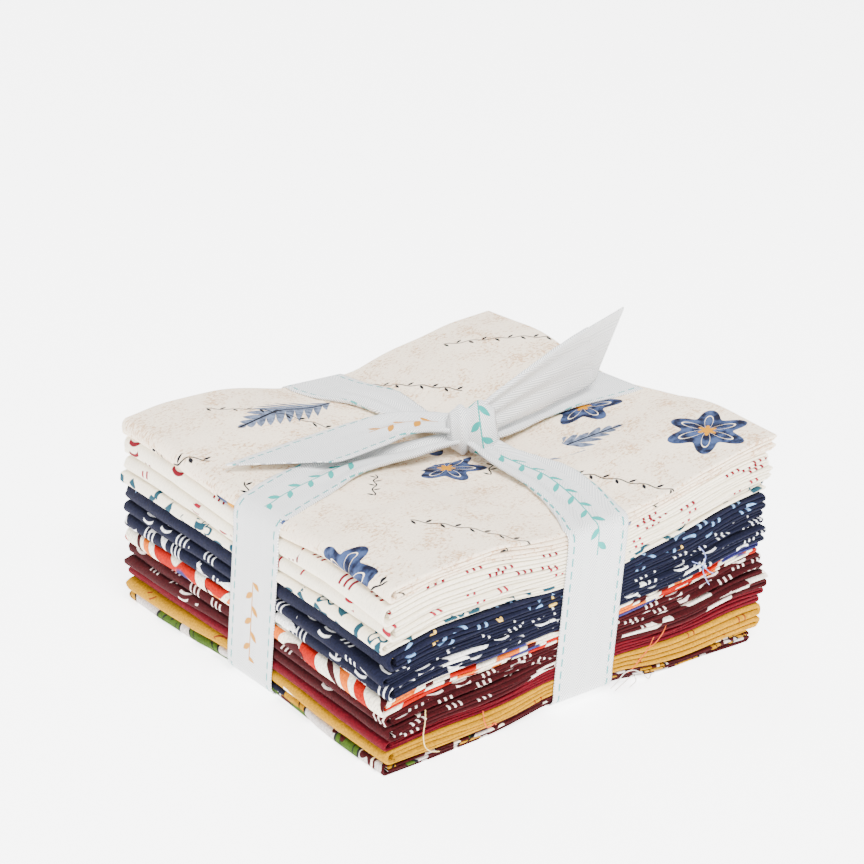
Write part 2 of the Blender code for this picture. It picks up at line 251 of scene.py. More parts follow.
class BundleSizes(bpy.types.PropertyGroup):
    cut_length: length_property("Cut length", "Longer side of one flat cloth", 559)
    cut_width: length_property("Cut width", "Shorter side of one flat cloth", 457)
    folded_length: length_property("Folded length", "The stack's side along X", 140)
    folded_width: length_property("Folded width", "The stack's side along Y", 131.6)
    cloth_gap: length_property("Cloth gap", "Air between one cloth and the next", 0.36)
    layer_gap: length_property("Layer gap", "Air between the folded layers of one cloth", 0.26)
    cotton: length_property("Cotton", "Thickness of one layer of cotton", 0.2)
    groove: length_property("Groove", "Half of the strip that the ribbon presses flat", 12.5)
    blend: length_property("Blend", "How far the stack's bends are rounded", 7)
    wander: length_property("Wander", "How unevenly the folded edges lie", 0.55)
    uneven: length_property("Uneven", "How far one folded strip lies from the next", 0.7)
    thread: length_property("Thread", "Pitch of the cotton's weave", 0.42)


class BundleColours(bpy.types.PropertyGroup):
    parchment: colour_property("Parchment", "Ground of the top cloth", (246, 229, 206))
    speckle: colour_property("Speckle", "Fine mottling of the top cloth", (196, 154, 112))
    cream: colour_property("Cream", "Ground of the pale cloths", (246, 236, 214))
    ink: colour_property("Ink", "Darkest printed lines", (20, 20, 26))
    slate: colour_property("Slate", "Grey-blue printed leaves", (112, 124, 148))
    navy: colour_property("Navy", "Ground of the dark blue cloths", (18, 20, 38))
    teal_ink: colour_property("Teal ink", "Dark green-blue strokes", (30, 66, 80))
    maroon: colour_property("Maroon", "Ground of the dark red cloths", (54, 10, 14))
    crimson: colour_property("Crimson", "Ground of the bright red cloth", (88, 7, 20))
    orange_red: colour_property("Orange-red", "Darker wavy bands", (160, 15, 0))
    orange: colour_property("Orange", "Lighter wavy bands", (212, 98, 8))
    yellow: colour_property("Yellow", "Ground of the golden cloth", (170, 121, 0))
    grey: colour_property("Grey", "Ground of the lowest cloth", (196, 188, 184))
    green: colour_property("Green", "Leaf green patches", (56, 80, 20))
    ribbon: colour_property("Ribbon", "White of the twill ribbon", (250, 250, 248))
    stitch: colour_property("Stitch", "Pale thread along the ribbon", (70, 158, 156))
    motif: colour_property("Motif", "Leaves woven on the ribbon", (24, 156, 148))
    gold: colour_property("Gold", "Small golden accents", (190, 126, 6))


class BundleRibbon(bpy.types.PropertyGroup):
    width: length_property("Width", "Width of the ribbon", 22)
    thickness: length_property("Thickness", "Thickness of the ribbon", 0.4)
    clearance: length_property("Clearance", "Air between the ribbon and the cloth", 0.35)
    rounding: length_property("Rounding", "Bend of the ribbon over an edge", 2.2)
    stitch_inset: length_property("Stitch inset", "Stitched line from the ribbon's edge", 1.9)


class BundleStage(bpy.types.PropertyGroup):
    azimuth: FloatProperty(name="Azimuth", description="Camera's turn about Z", default=-38.545)
    elevation: FloatProperty(name="Elevation", description="Camera's height angle", default=21.802)
    roll: FloatProperty(name="Roll", description="Camera's tilt in its own plane", default=1.38)
    lens: FloatProperty(name="Lens", description="Focal length in mm", default=95.43)
    place: FloatVectorProperty(
        name="Place", description="Where the camera stands", subtype="TRANSLATION",
        default=(-0.3958, -0.4911, 0.3142),
    )
    floor: colour_property("Floor", "Plain pale floor", (250, 250, 250))


def settings():
    return bpy.context.scene.bundle


def rounded(rows, column, at, reach):
    """A column of a table of bends, read with its corners rounded."""
    stations = np.array([row[0] for row in rows]) * MM
    values = np.array([row[column] for row in rows]) * MM
    total = 0.0
    weights = 0.0
    for offset in np.linspace(-0.9, 0.9, 9):
        weight = 1 - offset * offset
        total = total + weight * np.interp(at + offset * reach, stations, values)
        weights += weight
    return total / weights


def stack_top(x, y, reach):
    twist = CORNER_TWIST * (x / TWIST_X) * (y / TWIST_Y)
    return rounded(SETTLE_X, 1, x, reach) + rounded(SETTLE_Y, 1, y, reach) - twist


def stack_under(x, y, reach):
    return rounded(SETTLE_X, 2, x, reach) + rounded(SETTLE_Y, 2, y, reach)


def crease_depth(x, y):
    """How far the creases press the top cloth down."""
    depth = np.zeros_like(x)
    for cx, cy, heading, length, width, deep in CREASES:
        turn = math.radians(heading)
        along = (x - cx * MM) * math.cos(turn) + (y - cy * MM) * math.sin(turn)
        across = -(x - cx * MM) * math.sin(turn) + (y - cy * MM) * math.cos(turn)
        reach = np.exp(-((along / (0.5 * length * MM)) ** 4))
        depth += deep * MM * reach * np.exp(-((across / (0.5 * width * MM)) ** 2))
    return depth


def eased(value, start, full):
    """0 within the ribbon's strip, rising smoothly to 1 where the cloth is free."""
    share = np.clip((np.abs(value) - start) / (full - start), 0, 1)
    return share * share * (3 - 2 * share)


def edge_share(value, half):
    """0 well inside the stack, rising to 1 at its side."""
    return np.clip((np.abs(value) - NEAR_EDGE * half) / ((1 - NEAR_EDGE) * half), 0, 1)


def cloth_thickness(row, x, length):
    across = (x + length / 2) / length
    return (row[2] + (row[3] - row[2]) * across) * MM


def cloth_share(index, x, level, sizes):
    """A level inside one cloth, 0 to 1, as a share of the whole stack's height at x."""
    length = sizes.folded_length
    below = sum(cloth_thickness(row, x, length) for row in CLOTHS[:index])
    total = sum(cloth_thickness(row, x, length) for row in CLOTHS) - sizes.cloth_gap
    own = cloth_thickness(CLOTHS[index], x, length) - sizes.cloth_gap
    return (below + level * own) / total


def straight_run(start, end, height, count, normal):
    """Stations along a flat layer, closer together near its ends."""
    share = (1 - np.cos(np.linspace(0, math.pi, count))) / 2
    share = 0.5 * share + 0.5 * np.linspace(0, 1, count)
    x = start + (end - start) * share
    return [(px, height, 0.0, normal) for px in x]


def bend(centre, middle, radii, first, last, count):
    """Stations round a fold, with the way each one faces."""
    out = []
    for angle in np.linspace(math.radians(first), math.radians(last), count + 2)[1:-1]:
        facing = np.array((math.cos(angle) / radii[0], math.sin(angle) / radii[1]))
        facing = facing / np.linalg.norm(facing)
        x = centre + radii[0] * math.cos(angle)
        height = middle + radii[1] * math.sin(angle)
        out.append((x, height, facing[0], facing[1]))
    return out


def gate_path(thickness, layer, gap, sizes, count):
    """The strip's run through the packet: x, height, and the way its outer face looks."""
    half = sizes.folded_length / 2
    outer = (OUTER_FOLD * thickness - layer / 2, (thickness - layer) / 2)
    closed = ((layer + gap) / 2, (layer + gap) / 2)
    fold_x = -half + OUTER_FOLD * thickness
    closed_x = half - CLOSED_FOLD * thickness
    levels = [layer / 2 + step * (layer + gap) for step in range(4)]
    edge_x = fold_x + 0.6 * MM
    path = straight_run(edge_x, closed_x, levels[2], count, -1)
    path += bend(closed_x, (levels[2] + levels[3]) / 2, closed, -90, 90, 6)
    path += straight_run(closed_x, fold_x, levels[3], count, 1)
    path += bend(fold_x, thickness / 2, outer, 90, 270, 11)
    path += straight_run(fold_x, closed_x, levels[0], count, -1)
    path += bend(closed_x, (levels[0] + levels[1]) / 2, closed, -90, 90, 6)
    path += straight_run(closed_x, edge_x, levels[1], count, 1)
    return np.array(path)


def layer_section(layer, sizes, count):
    """The cloth's run across the strip: y, and its height through the strip's thickness."""
    half = sizes.folded_width / 2
    cotton = sizes.cotton
    pitch = (layer - cotton) / 3
    low = -layer / 2 + cotton / 2
    high = layer / 2 - cotton / 2
    wrap = (high - low) / 2
    section = [(y, low) for y in np.linspace(half - 1.2 * MM, -half + wrap, 8)]
    for angle in np.linspace(-90, -270, 9)[1:-1]:
        turn = math.radians(angle)
        section.append((-half + wrap + wrap * math.cos(turn), wrap * math.sin(turn)))
    share = np.linspace(0, 1, count)
    section += [(-half + wrap + (sizes.folded_width - 2 * wrap) * at, high) for at in share]
    for angle in (60, 20, -20, -60):
        turn = math.radians(angle)
        y = half - wrap + 0.8 * wrap * math.cos(turn)
        section.append((y, high - pitch / 2 + pitch / 2 * math.sin(turn)))
    inner = -half + 2.2 * wrap
    section += [(y, high - pitch) for y in np.linspace(half - wrap, inner, 5)]
    section.append((inner - pitch / 2, high - 1.5 * pitch))
    section += [(y, high - 2 * pitch) for y in np.linspace(inner, 0.0, 3)]
    return np.array(section)


def run_lengths(points):
    """Distance along a path of points, from 0."""
    steps = np.linalg.norm(np.diff(points, axis=0), axis=1)
    return np.concatenate(([0.0], np.cumsum(steps)))


def waves(x, y, z, reach, seed):
    """A gentle unevenness that shifts neighbouring layers together."""
    rng = np.random.default_rng(seed)
    total = np.zeros_like(x)
    for size in (1.0, 0.62, 0.4):
        heading = rng.uniform(0, 2 * math.pi)
        lean = rng.uniform(-1, 1)
        phase = rng.uniform(0, 2 * math.pi)
        run = (x * math.cos(heading) + y * math.sin(heading)) / reach[0]
        total += size * np.sin(2 * math.pi * (run + lean * z / reach[1]) / size + phase)
    return total / 2


def settle(index, x, y, height, path_at, reference, sizes):
    """Moves a folded cloth's points from its own flat packet into the stack."""
    fold_out, edge_out, front_out, back_out, turn = CLOTHS[index][4:9]
    half_x = sizes.folded_length / 2
    half_y = sizes.folded_width / 2
    free_x = eased(x, sizes.groove, FREE_X)
    free_y = eased(y, sizes.groove, FREE_Y)
    level = height / reference
    share = cloth_share(index, x, level, sizes)

    near_x = edge_share(x, half_x)
    out_x = np.where(x < 0, -fold_out, edge_out) + turn * y / half_y
    wander_x = sizes.wander * waves(y, share * 0.06, x, (0.05, 0.3), SEED + index)
    uneven = np.random.default_rng(SEED + 200 + index).uniform(-1, 1, (3, 4)) * sizes.uneven
    strip = np.clip(level * 4 - 0.5, 0, 3)
    front, back, side = (np.interp(strip, range(4), row) for row in uneven)
    wander_x = wander_x + side * (x > 0)
    near_y = edge_share(y, half_y)
    out_y = np.where(y < 0, -front_out, back_out)
    wander_y = sizes.wander * waves(x, path_at * 0.7, y, (0.055, 0.3), SEED + 40 + index)
    wander_y = wander_y + np.where(y < 0, front, back)
    press = np.clip((np.abs(share - 0.5) - 0.44) / 0.06, 0, 1) ** 2 * EDGE_PRESS
    new_x = x + near_x * free_y * (out_x * MM + wander_x)
    new_x = new_x - np.sign(x) * near_x * (1 - free_y) * press
    new_y = y + near_y * free_x * (out_y * MM + wander_y)
    new_y = new_y - np.sign(y) * near_y * (1 - free_x) * press

    share = cloth_share(index, new_x, level, sizes)
    top = stack_top(new_x, new_y, sizes.blend) - crease_depth(new_x, new_y) * share ** 5
    under = stack_under(new_x, new_y, sizes.blend)
    z = under + (top - under) * share
    lift = np.clip(share * (1 - share) * 8, 0, 1) * free_x * free_y
    z = z + SOFTNESS * lift * waves(new_x, new_y, z, (0.05, 0.08), SEED + 90)
    if index == len(CLOTHS) - 1:
        z = z + TOP_PLY_LIFT * np.clip((share - 0.9935) / 0.003, 0, 1)
    return np.stack((new_x, new_y, z), axis=1)


def sheet_object(name, across, along, shape, measure):
    """A flat grid sheet, bent to its shape, with the flat sheet's measure as its UV map."""
    bm = bmesh.new()
    bmesh.ops.create_grid(bm, x_segments=along - 1, y_segments=across - 1, size=0.5)
    mesh = bpy.data.meshes.new(name)
    bm.to_mesh(mesh)
    bm.free()
    flat = np.empty(len(mesh.vertices) * 3)
    mesh.vertices.foreach_get("co", flat)
    flat = flat.reshape(-1, 3)
    i = np.rint((flat[:, 0] + 0.5) * (along - 1)).astype(int)
    j = np.rint((flat[:, 1] + 0.5) * (across - 1)).astype(int)
    mesh.vertices.foreach_set("co", shape(i, j).ravel())
    corner = np.empty(len(mesh.loops), dtype=np.int64)
    mesh.loops.foreach_get("vertex_index", corner)
    spots = measure(i, j)[corner]
    layer = mesh.uv_layers.new(name="Cloth")
    layer.data.foreach_set("uv", spots.astype(np.float32).ravel())
    mesh.update()
    mesh.shade_smooth()
    piece = bpy.data.objects.new(name, mesh)
    bpy.context.scene.collection.objects.link(piece)
    return piece


def give_thickness(piece, thickness):
    solidify = piece.modifiers.new("Thickness", "SOLIDIFY")
    solidify.thickness = thickness
    solidify.offset = 0.0


def loose_threads(node):
    """Weave threads that have come away from a cloth's cut edge."""
    rgb, routes = THREADS[node]
    line = bpy.data.curves.new(node.replace("cloth", "threads"), "CURVE")
    line.dimensions = "3D"
    line.bevel_depth = THREAD_RADIUS
    line.bevel_resolution = 1
    line.use_fill_caps = True
    for route in routes:
        spots = smooth_rail([np.array(spot) * MM for spot in route], 14 * len(route))
        strand = line.splines.new("POLY")
        strand.points.add(len(spots) - 1)
        for point, spot in zip(strand.points, spots):
            point.co = (*spot, 1.0)
    colour = node.replace("cloth_", "").replace("_", " ")
    line.materials.append(spin_thread("Loose thread of " + colour, linear(*rgb)))
    piece = bpy.data.objects.new(line.name, line)
    bpy.context.scene.collection.objects.link(piece)
    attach(piece, "root")
    return piece


def fold_cloth(index):
    """One cloth: folded from its flat sheet and settled into the stack."""
    sizes = settings().sizes
    row = CLOTHS[index]
    name, slot = row[:2]
    reference = (row[2] + row[3]) / 2 * MM - sizes.cloth_gap
    layer = (reference - 3 * sizes.layer_gap) / 4
    top_cloth = index == len(CLOTHS) - 1
    path = gate_path(reference, layer, sizes.layer_gap, sizes, 72 if top_cloth else 30)
    section = layer_section(layer, sizes, 64 if top_cloth else 18)
    path_at = run_lengths(path[:, :2])
    section_at = run_lengths(section)

    def shape(i, j):
        x = path[i, 0] + section[j, 1] * path[i, 2]
        height = path[i, 1] + section[j, 1] * path[i, 3]
        return settle(index, x, section[j, 0], height, path_at[i], reference, sizes)

    def measure(i, j):
        return np.stack((path_at[i], section_at[j]), axis=1)

    piece = sheet_object(name.replace("cloth", "folded"), len(section), len(path), shape, measure)
    give_thickness(piece, sizes.cotton)
    piece.data.materials.append(COTTONS[name]())
    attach(piece, "root")
    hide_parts(name)
    fringe = [loose_threads(name)] if name in THREADS else []
    return piece


class Value:
    """A number on its way through a material's nodes, with plain arithmetic."""

    def __init__(self, draft, socket):
        self.draft = draft
        self.socket = socket

    def __add__(self, other):
        return self.draft.maths("ADD", self, other)

    def __sub__(self, other):
        return self.draft.maths("SUBTRACT", self, other)

    def __rsub__(self, other):
        return self.draft.maths("SUBTRACT", other, self)

    def __mul__(self, other):
        return self.draft.maths("MULTIPLY", self, other)

    def __truediv__(self, other):
        return self.draft.maths("DIVIDE", self, other)

    def __mod__(self, other):
        return self.draft.maths("FLOORED_MODULO", self, other)

    def __gt__(self, other):
        return self.draft.maths("GREATER_THAN", self, other)

    def __lt__(self, other):
        return self.draft.maths("LESS_THAN", self, other)

    def __abs__(self):
        return self.draft.maths("ABSOLUTE", self)


class Draft:
    """A material in the making: adds shader nodes and hands back their outputs. Its motifs are
    signed distances, below zero inside the motif."""

    def __init__(self, name):
        self.material = bpy.data.materials.new(name)
        self.material.use_nodes = True
        self.nodes = self.material.node_tree.nodes
        self.links = self.material.node_tree.links
        self.shader = self.nodes["Principled BSDF"]
        self.cloth = self.add("ShaderNodeUVMap").outputs["UV"]

    def add(self, kind, **facts):
        node = self.nodes.new(kind)
        for key, value in facts.items():
            setattr(node, key, value)
        return node

    def feed(self, socket, value):
        if isinstance(value, Value):
            value = value.socket
        if isinstance(value, bpy.types.NodeSocket):
            self.links.new(value, socket)
        elif isinstance(value, tuple) and len(value) == 3 and socket.type == "RGBA":
            socket.default_value = (*value, 1.0)
        else:
            socket.default_value = value

    def maths(self, operation, a, b=0.0):
        node = self.add("ShaderNodeMath", operation=operation)
        self.feed(node.inputs[0], a)
        self.feed(node.inputs[1], b)
        return Value(self, node.outputs[0])

    def vector(self, operation, a, b=(0.0, 0.0, 0.0)):
        node = self.add("ShaderNodeVectorMath", operation=operation)
        self.feed(node.inputs[0], a)
        self.feed(node.inputs["Scale" if operation == "SCALE" else 1], b)
        return node.outputs[0]

    def parts(self, vector):
        node = self.add("ShaderNodeSeparateXYZ")
        self.feed(node.inputs[0], vector)
        return Value(self, node.outputs[0]), Value(self, node.outputs[1])

    def noise(self, vector, size, detail=2.0, rough=0.5):
        node = self.add("ShaderNodeTexNoise")
        self.feed(node.inputs["Vector"], vector)
        node.inputs["Scale"].default_value = 1 / size
        node.inputs["Detail"].default_value = detail
        node.inputs["Roughness"].default_value = rough
        return Value(self, node.outputs[0])

    def step(self, value, low, high, out_low=0.0, out_high=1.0):
        node = self.add("ShaderNodeMapRange", interpolation_type="SMOOTHSTEP")
        for socket, fact in zip(node.inputs, (value, low, high, out_low, out_high)):
            self.feed(socket, fact)
        return Value(self, node.outputs[0])

    def inside(self, distance):
        """1 where a signed distance is below zero, with a soft printed edge."""
        return self.step(distance, -PRINT_BLUR, PRINT_BLUR, 1.0, 0.0)

    def mix(self, share, under, over):
        node = self.add("ShaderNodeMix", data_type="RGBA")
        self.feed(node.inputs[0], share)
        self.feed(node.inputs[6], under)
        self.feed(node.inputs[7], over)
        return node.outputs[2]

    def scatter(self, spacing, jitter=0.7, shift=(0.0, 0.0), turn=1.0, lean=0.0, square=False):
        """Repeats a motif: place inside each copy, turned at random, and its random number."""
        spot = self.vector("ADD", self.cloth, (*shift, 0.0))
        cells = self.add("ShaderNodeTexVoronoi", voronoi_dimensions="2D")
        self.feed(cells.inputs["Vector"], spot)
        cells.inputs["Scale"].default_value = 1 / spacing
        cells.inputs["Randomness"].default_value = jitter
        spin, chance = self.parts(cells.outputs["Color"])
        angle = spin * (turn * 2 * math.pi) + lean
        if square:
            angle = angle + (chance > 0.5) * (math.pi / 2)
        rotate = self.add("ShaderNodeVectorRotate", rotation_type="Z_AXIS")
        self.feed(rotate.inputs["Vector"], self.vector("SUBTRACT", spot, cells.outputs["Position"]))
        self.feed(rotate.inputs["Angle"], angle)
        return *self.parts(rotate.outputs[0]), chance

    def most(self, first, *others):
        for other in others:
            first = self.maths("MAXIMUM", first, other)
        return first

    def outline(self, distance, width):
        return abs(distance) - width / 2

    def radius(self, a, b):
        return self.maths("SQRT", a * a + b * b)

    def star(self, a, b, outer, inner=0.42):
        """A five-pointed star."""
        sector = 2 * math.pi / 5
        turn = (self.maths("ARCTAN2", b, a) + sector / 2) % sector
        folded = abs(turn - sector / 2)
        radius = self.radius(a, b)
        notch = (outer * inner * math.cos(sector / 2), outer * inner * math.sin(sector / 2))
        normal = Vector((notch[1], outer - notch[0])).normalized()
        out = radius * self.maths("COSINE", folded) - outer
        return out * normal.x + radius * self.maths("SINE", folded) * normal.y

    def ticks(self, a, b, count, pitch, length, width):
        """A short row of strokes, a little curved."""
        bent = b * b * TICK_CURVE + a
        wrapped = self.maths("PINGPONG", bent + pitch * (count % 2) / 2, pitch / 2)
        stroke = pitch / 2 - wrapped - width / 2
        return self.most(stroke, abs(b) - length / 2, abs(bent) - pitch * count / 2)

    def leaf(self, a, b, length, width):
        """A pointed leaf."""
        share = a / (length / 2)
        return abs(b) - (1.0 - share * share) * (width / 2)

    def bloom(self, a, b, outer, petals=6, depth=0.2):
        """A flower with rounded petals."""
        wave = self.maths("COSINE", self.maths("ARCTAN2", b, a) * petals)
        return self.radius(a, b) - (wave * (depth * outer) + (1 - depth) * outer)

    def fern(self, a, b, length, width, pitch):
        """A leaf whose two sides are cut into slanted leaflets."""
        share = a / (length / 2)
        out = abs(b)
        comb = self.maths("PINGPONG", a - out * 1.1, pitch / 2) / (pitch / 2)
        reach = self.maths("SQRT", comb) * 0.86 + 0.08
        return (out - (1.0 - share * share) * reach * (width / 2)) * 0.6

    def leaflet(self, rise, local, slope, length, width):
        """A small leaf that slants away from a stem."""
        steep, flat = slope
        return self.leaf(rise * steep + local * flat, rise * flat - local * steep, length, width)

    def sprig(self, a, b, length, bend, wave):
        """A thin waving stem with small leaves on alternate sides."""
        off = b - self.maths("SINE", a * (2 * math.pi / wave)) * bend
        local = a % (wave / 2) - wave / 4
        rise = off * self.maths("SIGN", a % wave - wave / 2) - 1.3 * MM
        blade = self.leaflet(rise, local, (0.8, 0.6), 2.6 * MM, 1.0 * MM)
        drawn = self.maths("MINIMUM", self.outline(off, 0.5 * MM), blade)
        return self.most(drawn, abs(a) - length / 2)

    def emboss(self, height, strength):
        bump = self.add("ShaderNodeBump")
        bump.inputs["Strength"].default_value = strength
        bump.inputs["Distance"].default_value = 1.0
        self.feed(bump.inputs["Height"], height)
        self.feed(self.shader.inputs["Normal"], bump.outputs[0])

    def finish(self, colour, rough, sheen, specular):
        self.feed(self.shader.inputs["Base Color"], colour)
        self.feed(self.shader.inputs["Roughness"], rough)
        self.feed(self.shader.inputs["Sheen Weight"], sheen)
        self.feed(self.shader.inputs["Specular IOR Level"], specular)
        return self.material

    def finish_cotton(self, colour, grain=PRINT_GRAIN):
        """Plain weave, soft puckers and a matte, slightly fuzzy surface under the print."""
        pitch = settings().sizes.thread
        x, y = (at * (2 * math.pi / pitch) for at in self.parts(self.cloth))
        weave = self.maths("SINE", x) * self.maths("SINE", y)
        slub = self.noise(self.vector("MULTIPLY", self.cloth, (1.0, 6.0, 1.0)), 2.5 * MM, 3.0)
        pucker = self.noise(self.cloth, 11 * MM, 3.0, 0.55)
        fleck = self.noise(self.cloth, 0.62 * MM, 2.0, 0.6)
        tone = self.step(slub, 0.2, 0.8, 0.93, 1.04)
        tone = tone * self.step(fleck, 0.3, 0.7, 1 - grain, 1 + grain)
        shade = weave * (0.02 + 0.4 * grain) + tone
        self.emboss(pucker * (0.9 * MM) + (slub * (0.05 * MM) + weave * (0.03 * MM)), 0.8)
        rough = self.step(slub, 0.2, 0.8, 0.82, 0.95)
        return self.finish(self.vector("SCALE", colour, shade), rough, 0.03, 0.06)


def paint(name):
    return tuple(getattr(settings().colours, name))


def ink_parchment():
    """Mottled parchment with slate ferns, navy blossoms and thin ink sprigs."""
    draft = Draft("Parchment cotton")
    fine = draft.noise(draft.vector("MULTIPLY", draft.cloth, (1.0, 1.5, 1.0)), 1.3 * MM, 3.0, 0.75)
    mottle = draft.step(draft.noise(draft.cloth, 10 * MM) * 0.5 + fine, 0.76, 0.9, 0.0, 0.85)
    ground = draft.mix(mottle, paint("parchment"), paint("speckle"))
    dots = draft.step(draft.noise(draft.cloth, 0.8 * MM, 2.0, 0.6), 0.68, 0.74, 0.0, 0.5)
    ground = draft.mix(dots, ground, linear(200, 140, 120))

    a, b, chance = draft.scatter(62 * MM, 0.3, (0.013, 0.022))
    wash = draft.step(draft.noise(draft.cloth, 2.2 * MM, 4.0, 0.6), 0.32, 0.62)
    slate = draft.mix(wash, linear(66, 72, 88), paint("slate"))
    slate = draft.mix(draft.inside(draft.outline(b, 0.7 * MM)), slate, paint("ink"))
    shown = draft.inside(draft.fern(a, b, 42 * MM, 16 * MM, 4.2 * MM)) * (chance > 0.3)
    colour = draft.mix(shown, ground, slate)

    a, b, chance = draft.scatter(62 * MM, 0.3, (0.044, 0.051))
    wash = draft.step(draft.noise(draft.cloth, 3 * MM, 3.0), 0.35, 0.65)
    petal = draft.mix(wash, paint("navy"), linear(62, 78, 116))
    vein = draft.inside(draft.outline(draft.bloom(a, b, 8.4 * MM, 6, 0.5), 0.5 * MM))
    petal = draft.mix(vein, petal, paint("parchment"))
    petal = draft.mix(draft.inside(draft.bloom(a, b, 2.8 * MM, 6, 0.25)), petal, paint("gold"))
    shown = draft.inside(draft.bloom(a, b, 12 * MM)) * (chance > 0.35)
    colour = draft.mix(shown, colour, petal)

    a, b, chance = draft.scatter(47 * MM, 0.3, (0.005, 0.054), 0.08, 2.0)
    shown = draft.inside(draft.sprig(a, b, 38 * MM, 0.5 * MM, 8 * MM)) * (chance > 0.4)
    return draft.finish_cotton(draft.mix(shown, colour, paint("ink")), PARCHMENT_GRAIN)


def tick_print(name, ground, mark, row, seed, turn=0.06):
    """A ground with short rows of strokes, as in several cloths of the bundle. Each row, in mm,
    gives how far apart the rows lie, how many strokes, and their pitch, length and width."""
    draft = Draft(name)
    spacing, count, pitch, length, width = row
    shift = (seed * 0.017, seed * 0.031)
    a, b, _ = draft.scatter(spacing * MM, 0.5, shift, turn, -turn * math.pi, square=True)
    marks = draft.ticks(a, b, count, pitch * MM, length * MM, width * MM)
    return draft, draft.mix(draft.inside(marks), paint(ground), mark)


def ink_cream_ticks():
    draft, colour = tick_print("Cream cotton with red ticks", "cream", linear(110, 16, 32),
                               (12.5, 3, 2.3, 5.4, 0.95), 1)
    return draft.finish_cotton(colour, CREAM_GRAIN)


def ink_cream_plain():
    draft, colour = tick_print("Plain cream cotton", "cream", linear(140, 22, 44),
                               (19, 2, 2.2, 4.2, 0.9), 2)
    a, b, chance = draft.scatter(16 * MM, 0.6, (0.009, 0.013))
    shown = draft.inside(draft.leaf(a, b, 8.5 * MM, 3.4 * MM)) * (chance > 0.55)
    return draft.finish_cotton(draft.mix(shown, colour, paint("teal_ink")), CREAM_GRAIN)


def ink_cream_teal():
    draft, colour = tick_print("Cream cotton with teal strokes", "cream", paint("teal_ink"),
                               (8.6, 1, 3.0, 4.2, 1.9), 3, turn=0.7)
    a, b, _ = draft.scatter(21 * MM, 0.6, (0.004, 0.018))
    ring = draft.inside(draft.outline(draft.bloom(a, b, 3.6 * MM, 4, 0.3), 1.0 * MM))
    return draft.finish_cotton(draft.mix(ring, colour, paint("teal_ink")), CREAM_GRAIN)


def ink_navy_flecks():
    draft, colour = tick_print("Navy cotton with flecks", "navy", linear(120, 158, 206),
                               (14, 2, 2.4, 4.4, 0.85), 4, turn=0.6)
    a, b, _ = draft.scatter(26 * MM, 0.7, (0.007, 0.003))
    fleck = draft.inside(draft.bloom(a, b, 1.5 * MM, 4, 0.3))
    return draft.finish_cotton(draft.mix(fleck, colour, linear(222, 180, 90)))


def ink_navy_ticks():
    draft, colour = tick_print("Navy cotton with ticks", "navy", linear(240, 240, 240),
                               (11.5, 3, 2.0, 5.0, 0.66), 5)
    x, _ = draft.parts(draft.cloth)
    waver = draft.noise(draft.cloth, 14 * MM, 1.0) * (1.6 * MM) + x
    rule = draft.outline(draft.maths("PINGPONG", waver, 19 * MM) - 7 * MM, 0.6 * MM)
    shown = draft.inside(rule) * (draft.noise(draft.cloth, 11 * MM, 1.0) > 0.45)
    return draft.finish_cotton(draft.mix(shown, colour, linear(240, 240, 240)))


def ink_navy_stars():
    draft, colour = tick_print("Navy cotton with stars", "navy", linear(236, 236, 238),
                               (13, 3, 2.0, 4.8, 0.66), 6)
    a, b, _ = draft.scatter(28 * MM, 0.4, (0.011, 0.021))
    star = draft.inside(draft.star(a, b, 8.5 * MM))
    return draft.finish_cotton(draft.mix(star, colour, linear(242, 240, 236)))


def ink_wavy_bands():
    """Cream, orange-red and orange bands that wave across the cloth, with navy patches."""
    draft = Draft("Wavy banded cotton")
    x, y = draft.parts(draft.cloth)
    drift = draft.noise(draft.cloth, 30 * MM, 1.0) * (46 * MM)
    band = (x * 0.75 + y + drift) % (33 * MM)
    colour = paint("cream")
    for low, high, tint in ((4, 13, "orange_red"), (18, 23.5, "orange"), (26.5, 29.5, "maroon")):
        starts = draft.step(band, (low - 0.15) * MM, (low + 0.15) * MM)
        stops = draft.step(band, (high - 0.15) * MM, (high + 0.15) * MM, 1.0, 0.0)
        colour = draft.mix(starts * stops, colour, paint(tint))
    edge = draft.noise(draft.vector("ADD", draft.cloth, (0.3, 0.1, 0.0)), 46 * MM, 1.0)
    a, b, _ = draft.scatter(9 * MM, 0.2)
    spark = draft.inside(draft.star(a, b, 2.4 * MM))
    field = draft.mix(spark, linear(50, 48, 100), paint("cream"))
    return draft.finish_cotton(draft.mix(draft.step(edge, 0.575, 0.585), colour, field))


def ink_maroon_ticks():
    draft, colour = tick_print("Maroon cotton with ticks", "maroon", linear(236, 220, 212),
                               (11.5, 3, 2.0, 5.0, 0.7), 7)
    return draft.finish_cotton(colour)


def ink_maroon_stars():
    draft, colour = tick_print("Maroon cotton with stars", "maroon", linear(236, 220, 212),
                               (14, 3, 2.0, 4.8, 0.66), 8)
    a, b, _ = draft.scatter(33 * MM, 0.35, (0.004, 0.033))
    star = draft.inside(draft.star(a, b, 9.0 * MM, 0.48))
    return draft.finish_cotton(draft.mix(star, colour, linear(238, 228, 214)))


def ink_crimson():
    draft = Draft("Crimson cotton with star outlines")
    a, b, _ = draft.scatter(24 * MM, 0.45, (0.002, 0.006))
    star = draft.inside(draft.outline(draft.star(a, b, 4.2 * MM), 0.8 * MM))
    return draft.finish_cotton(draft.mix(star, paint("crimson"), linear(238, 216, 214)))


def ink_yellow():
    draft, colour = tick_print("Golden cotton with fine strokes", "yellow", linear(120, 30, 16),
                               (21, 2, 2.4, 6.0, 0.5), 9, turn=0.7)
    a, b, chance = draft.scatter(48 * MM, 0.6, (0.021, 0.008))
    patch = draft.inside(draft.bloom(a, b, 6.5 * MM, 5)) * (chance > 0.55)
    return draft.finish_cotton(draft.mix(patch, colour, paint("cream")))


